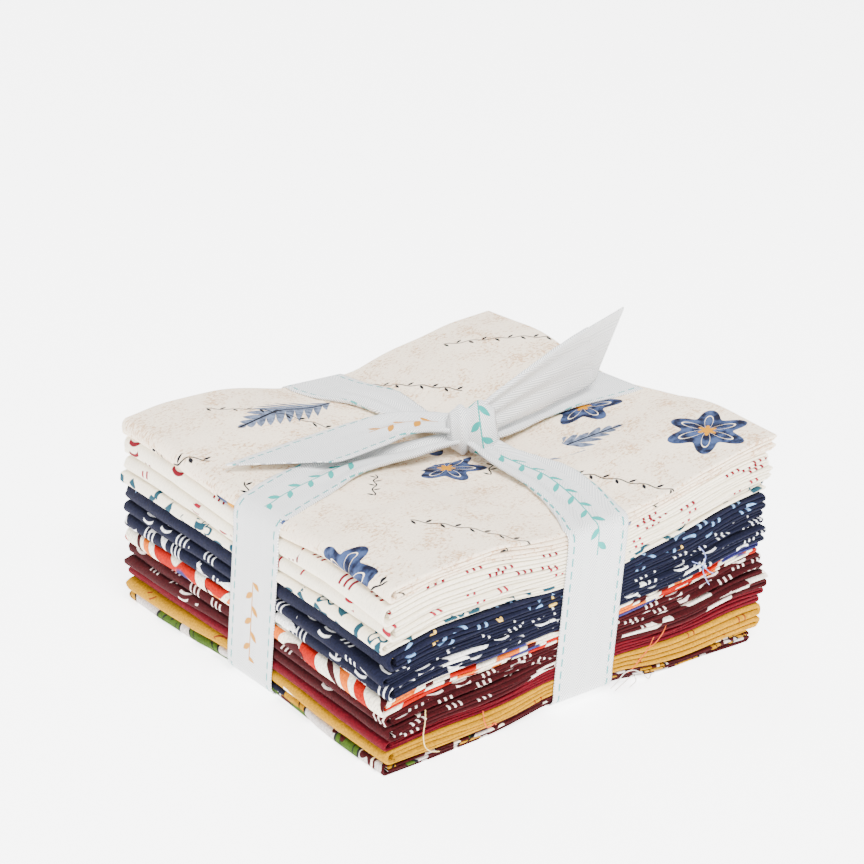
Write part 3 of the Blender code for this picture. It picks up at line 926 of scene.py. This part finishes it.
def ink_grey():
    """Light grey with green and yellow seed pods outlined in black, dark blooms, and a broken
    maroon stripe where the blooms turn cream."""
    draft = Draft("Grey printed cotton")
    a, b, chance = draft.scatter(23 * MM, 0.35, (0.003, 0.015))
    pod = draft.leaf(a, b, 20 * MM, 11 * MM)
    fill = draft.mix(chance > 0.65, paint("green"), paint("yellow"))
    colour = draft.mix(draft.inside(pod), paint("grey"), fill)
    rib = draft.outline(draft.leaf(a, b, 15 * MM, 6 * MM), 0.5 * MM)
    rib = draft.most(draft.inside(draft.outline(pod, 0.9 * MM)), draft.inside(rib))
    colour = draft.mix(rib, colour, paint("ink"))
    _, y = draft.parts(draft.cloth)
    waver = draft.noise(draft.cloth, 16 * MM, 1.0) * (4 * MM) + y
    stripe = draft.inside(draft.outline(waver - 132.5 * MM, 12 * MM))
    stripe = stripe * (draft.noise(draft.cloth, 9 * MM, 1.0) > 0.43)
    colour = draft.mix(stripe, colour, paint("maroon"))
    a, b, chance = draft.scatter(15 * MM, 0.5, (0.012, 0.002))
    bloom = draft.inside(draft.bloom(a, b, 4.8 * MM, 5, 0.25))
    petal = draft.mix(chance > 0.7, paint("maroon"), paint("navy"))
    petal = draft.mix(stripe, petal, paint("cream"))
    shown = bloom * draft.most(stripe, chance > 0.45)
    return draft.finish_cotton(draft.mix(shown, colour, petal))


COTTONS = {
    "cloth_parchment": ink_parchment,
    "cloth_cream_ticks": ink_cream_ticks,
    "cloth_cream_plain": ink_cream_plain,
    "cloth_cream_teal": ink_cream_teal,
    "cloth_navy_flecks": ink_navy_flecks,
    "cloth_navy_ticks": ink_navy_ticks,
    "cloth_navy_stars": ink_navy_stars,
    "cloth_wavy_bands": ink_wavy_bands,
    "cloth_maroon_ticks": ink_maroon_ticks,
    "cloth_maroon_stars": ink_maroon_stars,
    "cloth_crimson_stars": ink_crimson,
    "cloth_yellow": ink_yellow,
    "cloth_grey_print": ink_grey,
}


def spin_thread(name, rgb):
    """A single pulled thread: soft, matte, and a little darker in the hollows of its twist."""
    draft = Draft(name)
    place = draft.add("ShaderNodeTexCoord").outputs["Object"]
    tone = draft.step(draft.noise(place, 0.7 * MM), 0.3, 0.7, 0.82, 1.08)
    return draft.finish(draft.vector("SCALE", rgb, tone), 0.9, 0.0, 0.1)


def weave_ribbon(name, teal=(0, 0), gold=(0, 0), stitched=True):
    """White twill tape: slanted ribs that turn back, with painted shade in their troughs, a dashed
    line of pale stitches by each edge, and a woven row of small leaves on the stretches of its
    length given in mm."""
    draft = Draft(name)
    ribbon = settings().ribbon
    x, y = draft.parts(draft.cloth)
    middle = y - ribbon.width / 2
    zig = draft.maths("PINGPONG", y, 2.75 * MM) * 1.6
    ribs = draft.maths("SINE", (x + zig) * (2 * math.pi / (0.9 * MM)))
    # The rib troughs are painted darker than the white ribbon. This is painted shade of the ribs'
    # relief, and it is a little darker still on the unstitched side.
    shade = linear(158, 162, 168) if stitched else linear(150, 153, 158)
    colour = draft.mix(draft.step(ribs, -0.9, 0.3), shade, paint("ribbon"))
    height = draft.noise(draft.cloth, 9 * MM) * (0.3 * MM) + ribs * (0.07 * MM)
    if stitched:
        row = draft.outline(abs(middle) - (ribbon.width / 2 - ribbon.stitch_inset), 0.6 * MM)
        dash = draft.maths("PINGPONG", x, 1.9 * MM) - 1.2 * MM
        stitches = draft.inside(draft.most(row, dash))
        colour = draft.mix(stitches, colour, paint("stitch"))
        height = stitches * (0.1 * MM) + height
    pitch = 4.2 * MM
    odd = draft.maths("SIGN", x % (2 * pitch) - pitch)
    rise = middle * odd - 1.5 * MM
    leaf = draft.leaflet(rise, x % pitch - pitch / 2, (0.75, 0.66), 4.4 * MM, 1.9 * MM)
    woven = draft.inside(draft.maths("MINIMUM", leaf, draft.outline(middle, 0.45 * MM)))
    for (start, stop), tint in ((teal, "motif"), (gold, "gold")):
        if stop > start:
            within = (x > start * MM) * (x < stop * MM)
            colour = draft.mix(woven * within, colour, paint(tint))
    draft.emboss(height, 0.9)
    return draft.finish(colour, draft.step(ribs, -1.0, 1.0, 0.62, 0.78), 0.05, 0.2)


def smooth_rail(points, count):
    """A smooth curve through points, read at even steps of its table."""
    points = np.array(points, dtype=float)
    ends = np.vstack((2 * points[0] - points[1], points, 2 * points[-1] - points[-2]))
    out = []
    for stop in np.linspace(0, len(points) - 1, count):
        k = min(int(stop), len(points) - 2)
        t = stop - k
        p0, p1, p2, p3 = ends[k:k + 4]
        before, here, after = (np.linalg.norm(step) + 1e-9 for step in (p1 - p0, p2 - p1, p3 - p2))
        leave = (p2 - p0) * here / (before + here)
        arrive = (p3 - p1) * here / (here + after)
        out.append((2 * t ** 3 - 3 * t * t + 1) * p1 + (t ** 3 - 2 * t * t + t) * leave
                   + (3 * t * t - 2 * t ** 3) * p2 + (t ** 3 - t * t) * arrive)
    return np.array(out)


def even_rails(rails, count):
    """Both edges of a strip, smoothed and set at even distances along it."""
    both = np.array([np.concatenate((left, right)) for left, right in rails])
    dense = smooth_rail(both, 24 * len(rails))
    at = run_lengths((dense[:, :3] + dense[:, 3:]) / 2)
    stops = np.linspace(0, at[-1], count)
    even = np.stack([np.interp(stops, at, dense[:, k]) for k in range(6)], axis=1)
    return even[:, :3], even[:, 3:]


def ribbon_strip(name, rails, count, cloth, cut=0, first=True, cup=0.0, pleats=5):
    """A strip of ribbon between two rails, its spare width drawn into pleats and tucked under."""
    ribbon = settings().ribbon
    left, right = even_rails(rails, count)
    middle = (left + right) / 2
    spread = right - left
    width = np.linalg.norm(spread, axis=1)
    side = spread / np.maximum(width, 0.1 * MM)[:, None]
    tangent = np.gradient(middle, axis=0)
    normal = np.cross(tangent, side)
    normal /= np.linalg.norm(normal, axis=1)[:, None]
    along_at = run_lengths(middle)
    full = np.full(count, ribbon.width)
    if cut:
        full[-cut:] = np.minimum(width[-cut:], ribbon.width)
    drawn = np.clip((full - width) / (4 * MM), 0, 1)
    deep = drawn * PLEAT_DEPTH
    held_flat = 1 + (math.pi * pleats * deep / np.maximum(width, 4 * MM)) ** 2 / 4

    def spots(i, j):
        return full[i] * j / (RIBBON_ACROSS - 1) + (ribbon.width - full[i]) * first

    def shape(i, j):
        flat = full[i] * (j / (RIBBON_ACROSS - 1) - 0.5)
        on_top = np.minimum(held_flat[i] * width[i], full[i]) / 2
        beyond = np.maximum(np.abs(flat) - on_top, 0)
        scale = width[i] / 2 / on_top
        turn = np.clip(beyond / TUCK_BEND, 0, 1)
        inward = np.maximum(beyond - 0.6 * MM, 0) - 0.25 * MM * np.sin(math.pi * turn)
        x = np.sign(flat) * (np.minimum(np.abs(flat), on_top) * scale - inward)
        share = x / np.maximum(width[i] / 2, 0.1 * MM)
        ripple = deep[i] * np.sin(math.pi * pleats * share / 2 + 0.8 + 9 * along_at[i]) * (1 - turn)
        under = -TUCK_DROP * turn * turn * (3 - 2 * turn)
        offset = ripple + under + cup * drawn[i] * (np.abs(share) ** 2 - 0.4)
        return middle[i] + side[i] * x[:, None] + normal[i] * offset[:, None]

    def measure(i, j):
        return np.stack((along_at[i], spots(i, j)), axis=1)

    piece = sheet_object(name, RIBBON_ACROSS, count, shape, measure)
    give_thickness(piece, ribbon.thickness)
    piece.data.materials.append(cloth)
    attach(piece, "root")
    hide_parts("ribbon")
    return piece


def surface_height(reader, along_y, along, aside):
    x, y = (aside, along) if along_y else (along, aside)
    return float(reader(np.array([x]), np.array([y]), settings().sizes.blend)[0])


def band_rails(along_y, rows, sides):
    """A loop of ribbon: from the knot out over one edge, under the stack, and back."""
    sizes = settings().sizes
    ribbon = settings().ribbon
    end = (sizes.folded_width if along_y else sizes.folded_length) / 2
    off = ribbon.clearance + ribbon.thickness / 2
    lower = 0.0 if along_y else ribbon.thickness + BANDS_APART

    sides_of = (-1, 1) if along_y else (1, -1)

    def pair(along, aside, width, z):
        ends = []
        for side, height in zip(sides_of, z):
            across = aside + side * width / 2
            ends.append((across, along, height) if along_y else (along, across, height))
        return ends

    def both(reader, along, aside, width, change):
        return [surface_height(reader, along_y, along, aside + side * width / 2) + change
                for side in sides_of]

    def over(row):
        along, aside, width, lift = (value * MM for value in row)
        edges = both(stack_top, along, aside, 0.8 * width, off + lift)
        middle = surface_height(stack_top, along_y, along, aside) + off + lift
        return pair(along, aside, width, [max(edge, middle) for edge in edges])

    def corner(toward, aside, reach, on_top, angle):
        turn = math.radians(angle)
        along = toward * (end - reach + (reach + off) * math.sin(turn))
        down = reach - (reach + off) * math.cos(turn)
        reader = stack_top if on_top else stack_under
        z = both(reader, toward * (end - reach), aside, ribbon.width, -down if on_top else down)
        return pair(along, aside, ribbon.width, z)

    def side(toward, top_aside, foot_aside, reach):
        top = surface_height(stack_top, along_y, toward * end, top_aside) - reach - SIDE_TOP
        foot = surface_height(stack_under, along_y, toward * end, foot_aside) + SIDE_FOOT
        out = []
        for share in np.linspace(0, 1, 6):
            z = top + (foot - top) * share
            aside = top_aside + (foot_aside - top_aside) * share
            out.append(pair(toward * (end + off), aside, ribbon.width, (z, z)))
        return out

    def outward(toward, facts):
        top_aside, foot_aside, reach = (fact * MM for fact in facts)
        steps = [corner(toward, top_aside, reach, True, angle) for angle in (0, 30, 60, 90)]
        steps += side(toward, top_aside, foot_aside, reach)
        steps += [corner(toward, foot_aside, ribbon.rounding, False, turn) for turn in (90, 45, 0)]
        return steps

    split = max(range(len(rows)), key=lambda k: rows[k][3])
    rails = [over(row) for row in reversed(rows[:split + 1])]
    rails += outward(-1, sides[0])
    for along in np.linspace(-0.8 * end, 0.8 * end, 9):
        share = along / end / 2 + 0.5
        aside = (sides[0][1] * (1 - share) + sides[1][1] * share) * MM
        z = surface_height(stack_under, along_y, along, aside) - off
        z -= lower * float(1 - eased(along, *CROSSING))
        rails.append(pair(along, aside, ribbon.width, (z, z)))
    rails += reversed(outward(1, sides[1]))
    rails += [over(row) for row in reversed(rows[split:])]
    return rails


class BUNDLE_OT_cloths(bpy.types.Operator):
    """Fold the thirteen cloths and settle them into a stack"""
    bl_idname = "bundle.cloths"
    bl_label = "Folded cloths"
    bl_options = {"REGISTER", "UNDO"}

    def execute(self, context):
        for index in range(len(CLOTHS)):
            fold_cloth(index)
        return {"FINISHED"}


class BUNDLE_OT_ribbon_bands(bpy.types.Operator):
    """Wrap the ribbon round the stack both ways"""
    bl_idname = "bundle.ribbon_bands"
    bl_label = "Ribbon bands"
    bl_options = {"REGISTER", "UNDO"}

    def execute(self, context):
        rails = band_rails(True, BAND_Y_TOP, BAND_Y_SIDES)
        cloth = weave_ribbon("Ribbon front to back", teal=(17, 76))
        ribbon_strip("ribbon_front_back", rails, 420, cloth, cup=1.0 * MM)
        rails = band_rails(False, BAND_X_TOP, BAND_X_SIDES)
        cloth = weave_ribbon("Ribbon left to right", teal=(38, 74), gold=(98, 124))
        ribbon_strip("ribbon_left_right", rails, 420, cloth, cup=1.4 * MM)
        return {"FINISHED"}


class BUNDLE_OT_ribbon_tails(bpy.types.Operator):
    """Leave the ribbon's two free ends, cut on the slant"""
    bl_idname = "bundle.ribbon_tails"
    bl_label = "Ribbon tails"
    bl_options = {"REGISTER", "UNDO"}

    def execute(self, context):
        wrong_side = weave_ribbon("Ribbon wrong side", stitched=False)
        make_tail("ribbon_tail_right", RIGHT_TAIL, RIGHT_TIP, wrong_side, True)
        right_side = weave_ribbon("Ribbon left end", gold=(8, 30))
        make_tail("ribbon_tail_left", LEFT_TAIL, LEFT_TIP, right_side, False)
        return {"FINISHED"}


def make_tail(name, rows, tip, cloth, first):
    """A free end whose lower edge runs up to the tip along a slanted cut."""
    rails = [(np.array(row[:3]) * MM, np.array(row[3:]) * MM) for row in rows]
    end = np.array(tip) * MM
    lower, upper = rails[-1]
    for share in (0.2, 0.4, 0.6, 0.8, 0.97):
        rails.append((lower + (end - lower) * share, upper + (end - upper) * share))
    count = 120
    middle = [(left + right) / 2 for left, right in rails]
    at = run_lengths(np.array(middle))
    cut = int(round(count * (1 - at[len(rows) - 1] / at[-1])))
    if not first:
        rails = [(upper, lower) for lower, upper in rails]
    return ribbon_strip(name, rails, count, cloth, cut=cut, first=first, cup=0.8 * MM)


class BUNDLE_OT_ribbon_knot(bpy.types.Operator):
    """Draw the ribbon into a knot"""
    bl_idname = "bundle.ribbon_knot"
    bl_label = "Ribbon knot"
    bl_options = {"REGISTER", "UNDO"}

    def execute(self, context):
        cloth = weave_ribbon("Ribbon knot", teal=(0, 40))
        wrap = knot_loop((10.2, -5.2, 62.3), (5.6, 7.6), 8.6, -38, 9)
        ribbon_strip("ribbon_knot_wrap", wrap, 120, cloth, cup=-2.2 * MM, pleats=3)
        plain = weave_ribbon("Ribbon turned back")
        turned = knot_loop((5.4, -1.2, 61.9), (5.2, 6.4), 6.0, -34, 4)
        ribbon_strip("ribbon_knot_turn", turned, 120, plain, cup=-2.0 * MM, pleats=3)
        heart = knot_loop((9.8, -4.8, 62.4), (3.9, 5.8), 9.6, -30, 12, -420, 0.8)
        ribbon_strip("ribbon_knot_heart", heart, 220, plain, cup=-1.2 * MM, pleats=3)
        return {"FINISHED"}


def knot_loop(centre, radii, width, heading, lean, last=-100, tighten=0.0):
    """Rails of a turn of ribbon about an axis that lies along the heading, rolled up tighter
    towards its end if asked."""
    turn = math.radians(heading)
    rise = math.radians(lean)
    level = math.cos(rise)
    axis = Vector((math.cos(turn) * level, math.sin(turn) * level, math.sin(rise)))
    side = axis.cross(Vector((0, 0, 1))).normalized()
    up = side.cross(axis).normalized()
    rails = []
    for angle in np.linspace(260, last, int((260 - last) / 20) + 1):
        share = math.radians(angle)
        size = 1 - tighten * (260 - angle) / (260 - last)
        ring = (side * radii[0] * math.cos(share) + up * radii[1] * math.sin(share)) * size
        middle = Vector(centre) + ring
        half = axis * width / 2
        rails.append((np.array(middle - half) * MM, np.array(middle + half) * MM))
    return rails


class BUNDLE_OT_stage(bpy.types.Operator):
    """Set the pale floor, the soft light and the camera"""
    bl_idname = "bundle.stage"
    bl_label = "Stage"
    bl_options = {"REGISTER", "UNDO"}

    def execute(self, context):
        make_floor()
        make_lights()
        make_camera()
        return {"FINISHED"}


def make_floor():
    bm = bmesh.new()
    under = Matrix.Translation((0, 0, -0.02 * MM))
    bmesh.ops.create_grid(bm, x_segments=1, y_segments=1, size=4.0, matrix=under)
    mesh = bpy.data.meshes.new("floor")
    bm.to_mesh(mesh)
    bm.free()
    floor = bpy.data.objects.new("floor", mesh)
    bpy.context.scene.collection.objects.link(floor)
    material = bpy.data.materials.new("Pale floor")
    material.use_nodes = True
    shader = material.node_tree.nodes["Principled BSDF"]
    shader.inputs["Base Color"].default_value = (*settings().stage.floor, 1.0)
    shader.inputs["Roughness"].default_value = 0.9
    shader.inputs["Emission Color"].default_value = (1.0, 1.0, 1.0, 1.0)
    shader.inputs["Emission Strength"].default_value = 3.8
    mesh.materials.append(material)


LAMPS = (
    # name, x, y, z, size, power
    ("key", -0.3, -1.1, 1.6, 0.8, 92.0),
    ("fill", -1.4, -0.4, 0.9, 1.2, 18.0),
    ("back", 0.3, 1.4, 1.5, 1.4, 30.0),
)


def make_lights():
    for name, x, y, z, size, power in LAMPS:
        data = bpy.data.lights.new(name, "AREA")
        data.size = size
        data.energy = power
        lamp = bpy.data.objects.new(name, data)
        lamp.location = (x, y, z)
        lamp.rotation_euler = Vector((-x, -y, 0.03 - z)).to_track_quat("-Z", "Y").to_euler()
        bpy.context.scene.collection.objects.link(lamp)
    world = bpy.data.worlds.new("Studio")
    world.use_nodes = True
    background = world.node_tree.nodes["Background"]
    background.inputs["Color"].default_value = (1.0, 1.0, 1.0, 1.0)
    background.inputs["Strength"].default_value = 0.85
    bpy.context.scene.world = world


def make_camera():
    stage = settings().stage
    az = math.radians(stage.azimuth)
    el = math.radians(stage.elevation)
    back = Vector((math.sin(az) * math.cos(el), -math.cos(az) * math.cos(el), math.sin(el)))
    right = Vector((0, 0, 1)).cross(back).normalized()
    up = back.cross(right)
    tilt = Matrix.Rotation(math.radians(stage.roll), 3, back)
    right, up = tilt @ right, tilt @ up
    data = bpy.data.cameras.new("camera")
    data.lens = stage.lens
    camera = bpy.data.objects.new("camera", data)
    camera.matrix_world = Matrix((
        (right.x, up.x, back.x, stage.place[0]),
        (right.y, up.y, back.y, stage.place[1]),
        (right.z, up.z, back.z, stage.place[2]),
        (0, 0, 0, 1),
    ))
    bpy.context.scene.collection.objects.link(camera)
    bpy.context.scene.camera = camera


class BundleSettings(bpy.types.PropertyGroup):
    sizes: PointerProperty(type=BundleSizes)
    colours: PointerProperty(type=BundleColours)
    ribbon: PointerProperty(type=BundleRibbon)
    stage: PointerProperty(type=BundleStage)


class BUNDLE_PT_panel(bpy.types.Panel):
    """Makes the bundle and edits its sizes and colours"""
    bl_idname = "BUNDLE_PT_panel"
    bl_label = "Fat quarter bundle"
    bl_space_type = "VIEW_3D"
    bl_region_type = "UI"
    bl_category = "Bundle"

    def draw(self, context):
        layout = self.layout
        for operator in OPERATORS:
            layout.operator(operator.bl_idname)
        for group in (settings().sizes, settings().colours, settings().ribbon, settings().stage):
            box = layout.box()
            for name in group.__annotations__:
                box.prop(group, name)


OPERATORS = (
    BUNDLE_OT_stage,
    BUNDLE_OT_cloths,
    BUNDLE_OT_ribbon_bands,
    BUNDLE_OT_ribbon_knot,
    BUNDLE_OT_ribbon_tails,
)
GROUPS = (BundleSizes, BundleColours, BundleRibbon, BundleStage, BundleSettings)
CLASSES = GROUPS + OPERATORS + (BUNDLE_PT_panel,)


def register():
    for item in CLASSES:
        bpy.utils.register_class(item)
    bpy.types.Scene.bundle = PointerProperty(type=BundleSettings)


def unregister():
    del bpy.types.Scene.bundle
    for item in reversed(CLASSES):
        bpy.utils.unregister_class(item)


def main():
    register()
    bpy.ops.bundle.stage()
    bpy.ops.bundle.cloths()
    bpy.ops.bundle.ribbon_bands()
    bpy.ops.bundle.ribbon_knot()
    bpy.ops.bundle.ribbon_tails()


if __name__ == "__main__":
    main()
